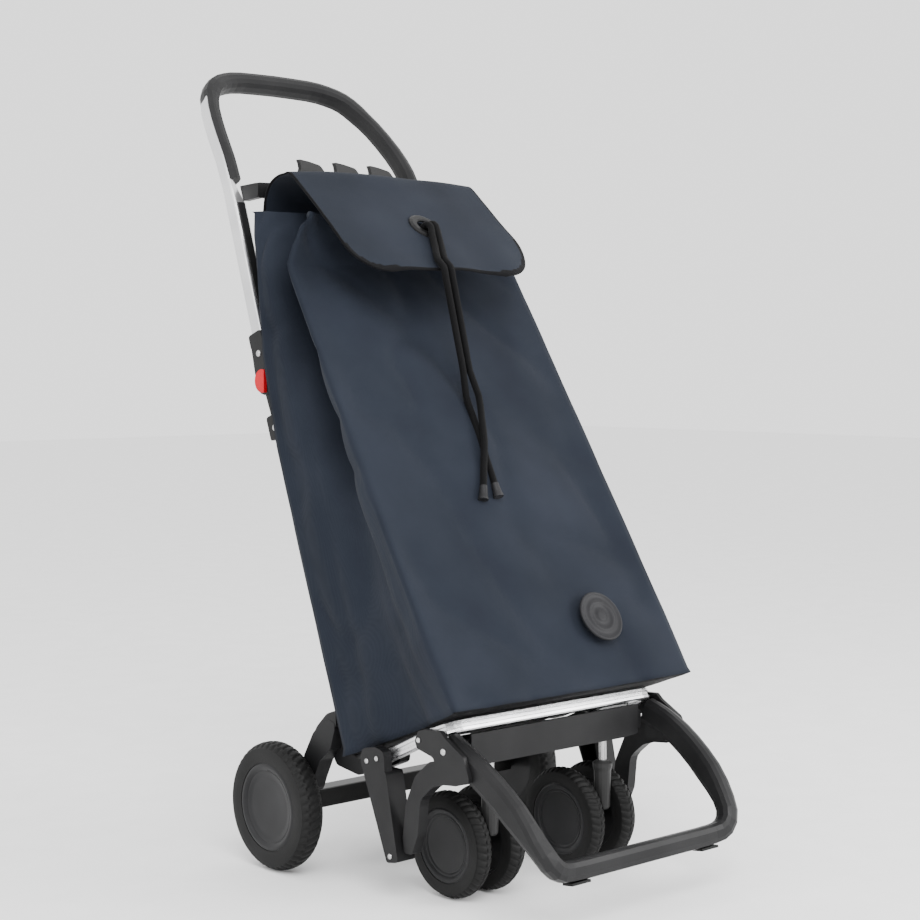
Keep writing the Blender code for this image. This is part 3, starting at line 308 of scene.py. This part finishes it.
# ---------------------------------------------------------------- bag
# A soft open-topped sack of woven cloth: a leaning front, sides folded inwards and a gathered
# mouth. It rests on the base bar and leans on the rails. Each level gives back y, back z, half
# width at the back, front y, front z and half width at the front.
def cloth(name, dark, light, rough, weave, bump):
    """Woven fabric: crossed threads, cloudy fading and a soft nap."""
    mat = bpy.data.materials.new(name)
    mat.use_nodes = True
    nodes = mat.node_tree.nodes
    links = mat.node_tree.links
    shader = nodes["Principled BSDF"]
    shader.label = "cloth surface"
    shader.location = (800, 0)
    shader.inputs["Sheen Weight"].default_value = 0.02
    shader.inputs["Specular IOR Level"].default_value = 0.08
    shader.inputs["Sheen Roughness"].default_value = 0.5
    shader.inputs["Roughness"].default_value = rough
    coords = nodes.new("ShaderNodeTexCoord")
    coords.label = "object position"
    coords.location = (-900, 0)
    threads = []
    for direction, height in (("X", 200), ("Z", -50)):
        wave = nodes.new("ShaderNodeTexWave")
        wave.label = "threads along " + direction
        wave.location = (-650, height)
        wave.bands_direction = direction
        wave.inputs["Scale"].default_value = weave
        wave.inputs["Distortion"].default_value = 0.6
        links.new(coords.outputs["Object"], wave.inputs["Vector"])
        threads.append(wave)
    crossed = nodes.new("ShaderNodeMath")
    crossed.label = "threads crossed"
    crossed.location = (-400, 80)
    crossed.operation = "MULTIPLY"
    links.new(threads[0].outputs["Fac"], crossed.inputs[0])
    links.new(threads[1].outputs["Fac"], crossed.inputs[1])
    fading = nodes.new("ShaderNodeTexNoise")
    fading.label = "fading"
    fading.location = (-650, -320)
    fading.inputs["Scale"].default_value = 7.0
    fading.inputs["Detail"].default_value = 5.0
    links.new(coords.outputs["Object"], fading.inputs["Vector"])
    mixed = nodes.new("ShaderNodeMath")
    mixed.label = "fading and threads"
    mixed.location = (-200, -150)
    mixed.operation = "MULTIPLY_ADD"
    mixed.inputs[1].default_value = 0.18
    links.new(crossed.outputs["Value"], mixed.inputs[0])
    links.new(fading.outputs["Fac"], mixed.inputs[2])
    tint = nodes.new("ShaderNodeValToRGB")
    tint.label = "cloth colour"
    tint.location = (50, 100)
    tint.color_ramp.elements[0].position = 0.30
    tint.color_ramp.elements[0].color = (*dark, 1.0)
    tint.color_ramp.elements[1].position = 0.80
    tint.color_ramp.elements[1].color = (*light, 1.0)
    links.new(mixed.outputs["Value"], tint.inputs["Fac"])
    links.new(tint.outputs["Color"], shader.inputs["Base Color"])
    relief = nodes.new("ShaderNodeBump")
    relief.label = "weave relief"
    relief.location = (400, -250)
    relief.inputs["Strength"].default_value = bump
    relief.inputs["Distance"].default_value = 0.0003
    links.new(crossed.outputs["Value"], relief.inputs["Height"])
    links.new(relief.outputs["Normal"], shader.inputs["Normal"])
    group = nodes.new("NodeFrame")
    group.label = "weave"
    for node in (threads[0], threads[1], crossed, fading, mixed, relief):
        node.parent = group
    return mat


navy_cloth = cloth("navy cloth", (0.0075, 0.0098, 0.0155), (0.0150, 0.0186, 0.0272), 0.72, 260.0, 0.5)
edge_cloth = cloth("edge binding", (0.0012, 0.0012, 0.0016), (0.0030, 0.0030, 0.0040), 0.75, 420.0, 0.6)
levels = [(-0.1150, 0.1625, 0.190, -0.3390, 0.2520, 0.204),
          (-0.0790, 0.2780, 0.195, -0.2920, 0.3276, 0.206),
          (-0.0400, 0.3850, 0.195, -0.2200, 0.4435, 0.205),
          (0.0180, 0.5440, 0.195, -0.1480, 0.5593, 0.203),
          (0.0480, 0.6600, 0.194, -0.0760, 0.6752, 0.201),
          (0.0640, 0.7675, 0.190, -0.0140, 0.7750, 0.198),
          (0.0760, 0.8150, 0.186, -0.0100, 0.8180, 0.178),
          (0.0830, 0.8480, 0.180, -0.0040, 0.8440, 0.150)]
columns_back, columns_side, columns_front = 26, 30, 44
rows = 110


def bag_level(v):
    place = v * (len(levels) - 1)
    i = min(int(place), len(levels) - 2)
    t = place - i
    return [a + (b - a) * t for a, b in zip(levels[i], levels[i + 1])]


def bag_point(panel, across, v):
    """A point of the cloth: across runs 0 to 1 over its panel, and v runs 0 to 1 up the bag."""
    by, bz, bw, fy, fz, fw = bag_level(v)
    back = Vector((0, by, bz))
    front = Vector((0, fy, fz))
    forward = (front - back).normalized()
    if panel == "back":
        x = bw * (1 - 2 * across)
        point = back + Vector((x, 0, 0))
        inward = forward
        fold = 0.003 + 0.004 * math.sin(math.pi * across)
        near = 4 * across * (1 - across)
    elif panel == "front":
        x = -fw + 2 * fw * across
        point = front + Vector((x, 0, 0))
        inward = -forward
        near = 4 * across * (1 - across)
        fold = 0.001 - 0.006 * near * (1 - ease(v, 0.6, 0.75)) + 0.012 * near * ease(v, 0.72, 0.86)
        fold += 0.0035 * math.sin(9.0 * v + 2.2 * across) * near
    else:
        sign = -1 if panel == "left" else 1
        t = across if panel == "left" else 1 - across
        point = back.lerp(front, t) + Vector((sign * (bw + (fw - bw) * t), 0, 0))
        inward = Vector((-sign, 0, 0))
        near = 4 * t * (1 - t)
        depth = 0.016 + 0.074 * ease(v, 0.16, 0.72)
        crease_at = 0.54 + 0.07 * math.sin(3.0 * v)
        fold = 0.001 + depth * math.exp(-((t - crease_at) / 0.17) ** 2) * min(1.0, near * 1.4)
        fold += (0.008 * math.exp(-((t - 0.86 + 0.50 * v) / 0.045) ** 2) * near
                 * ease(0.45 - v, 0.0, 0.2))
        fold += 0.006 * math.exp(-((t - 0.22 - 0.30 * v) / 0.05) ** 2) * near
    # small irregular creases, and pleats where the mouth is drawn in
    spot = Vector((point.x * 5.0, point.y * 5.0, point.z * 5.0))
    fold += 0.0075 * (0.5 + noise.noise(spot * 1.7 + Vector((3, 7, 1)))) * min(1.0, near * 3)
    ridged = 1.0 - abs(noise.noise(Vector((spot.x * 2.2 + spot.z * 1.4, spot.y * 2.0, spot.z * 1.1))))
    fold += 0.0080 * ridged ** 7 * min(1.0, near * 3)
    pleat = ease(v, 0.66, 0.92)
    fold += pleat * 0.0055 * (0.5 + 0.5 * math.sin(point.x * 260.0 + point.y * 300.0)) * min(1.0, near * 4)
    return point + inward * max(fold, -0.008)


grid = []
panels = ([("back", i / columns_back) for i in range(columns_back)]
          + [("left", i / columns_side) for i in range(columns_side)]
          + [("front", i / columns_front) for i in range(columns_front)]
          + [("right", i / columns_side) for i in range(columns_side)])
bm = bmesh.new()
for row in range(rows + 1):
    v = row / rows
    grid.append([bm.verts.new(bag_point(panel, t, v)) for panel, t in panels])
for low, high in zip(grid, grid[1:]):
    for i in range(len(low)):
        j = (i + 1) % len(low)
        bm.faces.new((low[i], low[j], high[j], high[i]))
bm.faces.new(grid[0])
smoothed = [v for ring in grid[1:-1] for v in ring]
for _ in range(2):
    bmesh.ops.smooth_vert(bm, verts=smoothed, factor=0.35, use_axis_x=True, use_axis_y=True, use_axis_z=True)
bag = mesh_object("bag_cloth", bm, navy_cloth)
bag.data.materials.append(edge_cloth)
# the bottom is one face of dark cloth
for face in bag.data.polygons:
    if len(face.vertices) > 4:
        face.material_index = 1
thick = bag.modifiers.new("cloth thickness", "SOLIDIFY")
thick.thickness = 0.0022
thick.offset = -1.0
for v in bag.data.vertices:
    v.co.y += axle_y
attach(bag, "frame")
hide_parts("bag_body")
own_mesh(bag)

# ---------------------------------------------------------------- patch
# A round patch of moulded rubber with a plain raised rim and ring, fixed on the bag's front;
# it goes with the bag.
front_out = Vector((0.0, -0.523, 0.325)).normalized()
patch_at = Vector((0.074, -0.2990 + axle_y, 0.3290)) + front_out * 0.0050
patch_rubber = surface("patch rubber", (0.010, 0.010, 0.0115), (0.017, 0.017, 0.019), 0.45, 0.0, 700.0, 0.3)
rim = [(0.0, 0.0), (0.0, 0.0332), (0.0016, 0.0336), (0.0030, 0.0328), (0.0034, 0.0314), (0.0030, 0.0300),
       (0.0024, 0.0294), (0.0022, 0.0220), (0.0032, 0.0208), (0.0034, 0.0190), (0.0032, 0.0172),
       (0.0022, 0.0160), (0.0021, 0.0080), (0.0031, 0.0070), (0.0033, 0.0050), (0.0033, 0.0)]
bm = spun([(r, 0.0, h) for h, r in rim], (0, 0, 0), (0, 0, 1), 64)
turn = front_out.to_track_quat("Z", "Y")
for v in bm.verts:
    v.co = turn @ v.co + patch_at
patch = mesh_object("patch_visual", bm, patch_rubber, 60.0)
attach(patch, "frame")
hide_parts("front_patch")
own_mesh(patch)

# ---------------------------------------------------------------- flap
# One cloth from the back of the mouth over the crease and down to a bound front edge. It is
# fixed behind the mouth and has a hole under the eyelet.
def smooth_path(points, per_span):
    pts = [Vector(p) for p in points]
    pts = [pts[0] * 2 - pts[1]] + pts + [pts[-1] * 2 - pts[-2]]
    out = []
    for i in range(1, len(pts) - 2):
        p0, p1, p2, p3 = pts[i - 1], pts[i], pts[i + 1], pts[i + 2]
        for k in range(per_span):
            t = k / per_span
            out.append(0.5 * (2 * p1 + (p2 - p0) * t + (2 * p0 - 5 * p1 + 4 * p2 - p3) * t * t
                              + (3 * p1 - p0 - 3 * p2 + p3) * t ** 3))
    out.append(pts[-2])
    return out


slope = Vector((0.0, -math.cos(math.radians(41.0)), -math.sin(math.radians(41.0))))
flap_up = Vector((0.0, slope.z, -slope.y))
crease = Vector((0.0, 0.037 + axle_y, 0.9005))
eyelet_at = 0.110
flap_reach = 0.1985


def on_flap(x, distance, height):
    return crease + Vector((x, 0, 0)) + slope * distance + flap_up * (height + 0.0015)


root_line = [(0.1000, 0.8500), (0.0960, 0.8700), (0.0860, 0.8860), (0.0700, 0.8965), (0.0540, 0.9010),
             (0.0385, 0.9012)]
flap_line = [Vector((0, y + axle_y, z)) for y, z in root_line]
flap_line += [crease + slope * (flap_reach * k / 5) + flap_up * 0.0005 for k in range(1, 6)]
flap_line = smooth_path(flap_line, 10)
flap_length = sum((b - a).length for a, b in zip(flap_line, flap_line[1:]))
eyelet_centre = on_flap(0.004, eyelet_at, 0.0)
columns = 104
left_width = 0.1520
right_width = 0.1650
corner_radius = 0.050
far_corner = 0.085
binding = 0.0045
hole_radius = 0.0125
rims = []
bm = bmesh.new()
sheet_rows = []
travelled = 0.0
for i, spine in enumerate(flap_line):
    if i:
        travelled += (spine - flap_line[i - 1]).length
    down = (flap_line[min(i + 1, len(flap_line) - 1)] - flap_line[max(i - 1, 0)]).normalized()
    out = Vector((0.0, down.z, -down.y))
    past = min(1.0, max(0.0, travelled - (flap_length - corner_radius)) / corner_radius)
    round_off = 1 - math.sqrt(1 - past ** 2)
    left_edge = -(left_width - 0.048 * round_off)
    wide = min(1.0, max(0.0, travelled - (flap_length - far_corner)) / far_corner)
    right_edge = right_width - 0.075 * (1 - math.sqrt(1 - wide ** 2))
    ring = []
    for k in range(columns + 1):
        u = -1 + 2 * k / columns
        x = left_edge + (right_edge - left_edge) * k / columns
        reach = abs(u) ** 3
        droop = 0.0055 * reach * ease(travelled, 0.02, 0.12)
        ripple = 0.0016 * noise.noise(Vector((x * 14.0, travelled * 16.0, 2.0)))
        ripple += 0.0014 * math.sin(x * 60.0 + 1.0) * ease(travelled, 0.20, 0.27)
        point = spine + Vector((x, 0, 0)) + out * (ripple - 0.0006) - Vector((0, 0, droop))
        ring.append(bm.verts.new(point))
    rims.append((travelled, left_edge, right_edge))
    sheet_rows.append(ring)
for low, high in zip(sheet_rows, sheet_rows[1:]):
    for i in range(columns):
        bm.faces.new((low[i], low[i + 1], high[i + 1], high[i]))
holed = [f for f in bm.faces if (f.calc_center_median() - eyelet_centre).length < hole_radius]
bmesh.ops.delete(bm, geom=holed, context="FACES")
flap_cloth = mesh_object("flap_cloth", bm, navy_cloth)
flap_cloth.data.materials.append(edge_cloth)
outline_points = [Vector((left, along)) for along, left, right in rims]
outline_points += [Vector((right, along)) for along, left, right in reversed(rims)]
root_length = flap_length - flap_reach
for face in flap_cloth.data.polygons:
    along = (face.center - crease).dot(slope) + root_length
    if along < root_length:
        inside = min(face.center.x + left_width, right_width - face.center.x)
    else:
        here = Vector((face.center.x, along))
        inside = 1.0
        for a, b in zip(outline_points, outline_points[1:]):
            t = max(0.0, min(1.0, (here - a).dot(b - a) / max(1e-12, (b - a).length_squared)))
            inside = min(inside, (here - a.lerp(b, t)).length)
    if inside < binding:
        face.material_index = 1
thick = flap_cloth.modifiers.new("cloth thickness", "SOLIDIFY")
thick.thickness = 0.0020
thick.offset = 0.0
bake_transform(flap_cloth)
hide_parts("bag_flap", "flap_root")

# ---------------------------------------------------------------- drawcords
# Two braided cords run from the eyelet down the flap, over its edge and down the bag's front.
# Each ends in a grey plastic ferrule.
def tube(name, points, radius, material, body):
    """A round cord or piping along points; it rides on a body."""
    curve = bpy.data.curves.new(name, "CURVE")
    curve.dimensions = "3D"
    curve.bevel_depth = radius
    curve.bevel_resolution = 4
    curve.use_fill_caps = True
    spline = curve.splines.new("POLY")
    spline.points.add(len(points) - 1)
    for spot, p in zip(spline.points, points):
        spot.co = (p[0], p[1], p[2], 1.0)
    obj = bpy.data.objects.new(name, curve)
    bpy.context.scene.collection.objects.link(obj)
    curve.materials.append(material)
    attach(obj, body)
    return obj


def front_face(z):
    """How far forward the bag's leaning front lies at a height."""
    return axle_y - 0.0140 - (0.7750 - z) * 0.6215


def cord_route(start_x, edge_x, low_x, end_x, end_z, first, over):
    """Up through the eyelet, over the flap's edge and down the bag to the ferrule."""
    pts = [on_flap(start_x, eyelet_at - first, -0.012), on_flap(start_x, eyelet_at - first, -0.002),
           on_flap(start_x, eyelet_at + 0.003 - first, 0.0086),
           on_flap(start_x, eyelet_at + 0.012 - first, 0.0112),
           on_flap(start_x * 0.8 + edge_x * 0.2, eyelet_at + 0.028, 0.0086),
           on_flap((start_x + edge_x) / 2, eyelet_at + 0.050, 0.0056),
           on_flap(edge_x, flap_reach - 0.012, 0.0058), on_flap(edge_x, flap_reach + 0.0034, 0.0056)]
    hang = pts[-1] + Vector((0, -0.0035, -0.0115))
    pts.append(hang)
    for k in range(1, 5):
        t = k / 4
        pts.append(Vector((edge_x + (low_x - edge_x) * t, hang.y, hang.z + (0.640 - hang.z) * t)))
    pts.append(Vector((low_x, front_face(crossing_z) - 0.0110 - over, crossing_z)))
    for k in range(1, 5):
        t = k / 4
        z = crossing_z + (end_z - crossing_z) * t
        lift = over * (1 - ease(t, 0.5, 1.0))
        pts.append(Vector((low_x + (end_x - low_x) * t, front_face(z) - 0.0115 - lift, z)))
    return smooth_path(pts, 2)


braid = cloth("cord braid", (0.0012, 0.0012, 0.0014), (0.0055, 0.0055, 0.0060), 0.80, 330.0, 0.9)
cord_grey = surface("ferrule grey", (0.012, 0.012, 0.013), (0.022, 0.022, 0.024), 0.45, 0.0, 800.0, 0.2)
give_finish(cord_grey, "cord_end")
cord_diameter = 0.009
crossing_z = 0.607      # where the right cord passes over the left one
for side, args in (("left", (-0.0012, -0.0270, 0.0035, -0.0100, 0.4980, -0.002, 0.0)),
                   ("right", (0.0092, -0.0150, 0.0150, -0.0300, 0.4960, 0.0, 0.0115))):
    route = cord_route(*args)
    cord = tube("drawcord_" + side, route, cord_diameter / 2, braid, "flap")
    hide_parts("cord_" + side)

# ---------------------------------------------------------------- studio
# A pale floor, a bright even surround and three soft boxes.
bm = bmesh.new()
bmesh.ops.create_grid(bm, x_segments=2, y_segments=2, size=12.0)
floor_material = surface("studio floor", (0.90, 0.90, 0.90), (0.93, 0.93, 0.93), 0.85, 0.0, 40.0, 0.02)
floor = mesh_object("studio_floor", bm, floor_material)
floor.location = (0.0, 0.0, -0.0003)
world = bpy.data.worlds.new("studio")
world.use_nodes = True
world.node_tree.nodes["Background"].inputs["Color"].default_value = (1.0, 1.0, 1.0, 1.0)
world.node_tree.nodes["Background"].inputs["Strength"].default_value = 1.8
bpy.context.scene.world = world
for name, at, aim, size, power in (("key", (-1.4, -2.2, 2.6), (0, 0, 0.4), 1.8, 105.0),
                                   ("side", (-2.6, 0.4, 1.2), (0, 0, 0.4), 1.2, 10.0),
                                   ("front", (1.6, -2.2, 1.2), (0, 0, 0.3), 1.4, 60.0)):
    lamp_data = bpy.data.lights.new(name, "AREA")
    lamp_data.shape = "SQUARE"
    lamp_data.size = size
    lamp_data.energy = power
    lamp = bpy.data.objects.new(name + " light", lamp_data)
    bpy.context.scene.collection.objects.link(lamp)
    lamp.location = at
    lamp.rotation_euler = (Vector(aim) - Vector(at)).to_track_quat("-Z", "Y").to_euler()
